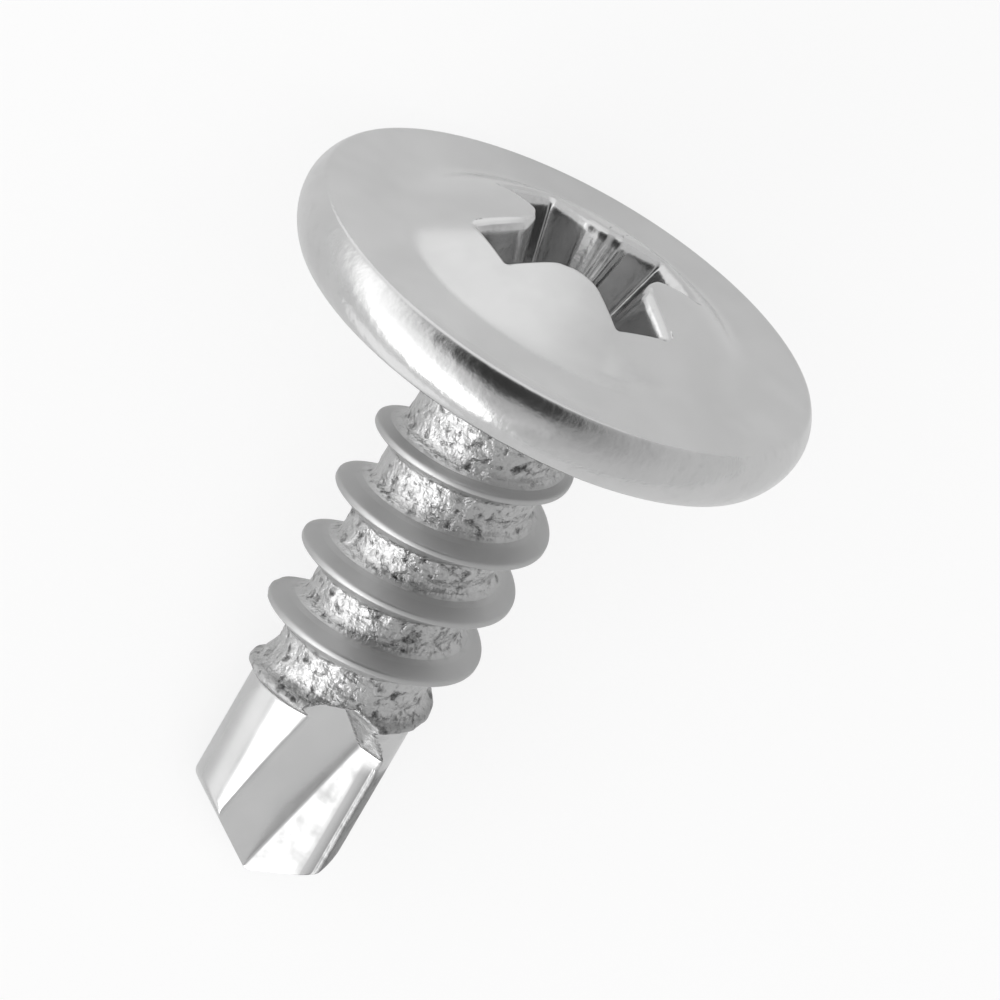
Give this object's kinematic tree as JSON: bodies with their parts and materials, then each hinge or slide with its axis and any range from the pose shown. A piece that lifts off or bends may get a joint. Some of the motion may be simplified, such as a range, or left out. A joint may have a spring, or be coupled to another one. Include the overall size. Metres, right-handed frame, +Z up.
{
  "type": "self drilling screw",
  "caption": "Self drilling screw with a wide flat wafer head, a domed top with a cross recess, a coarse thread and a fluted drill point, lying as it rests.",
  "frame": {"origin": "centre of the bounding box in plan, on the surface that the screw lies on", "axes": "+Z up, +X towards the head's end; the screw's own axis rises 21.1 degrees from the drill point towards the head, in the XZ plane"},
  "size_m": [0.0148, 0.0108, 0.0105],
  "materials": {
    "steel": "bright zinc plate"
  },
  "bodies": {
    "root": {"screw": "steel"}
  },
  "joints": []
}
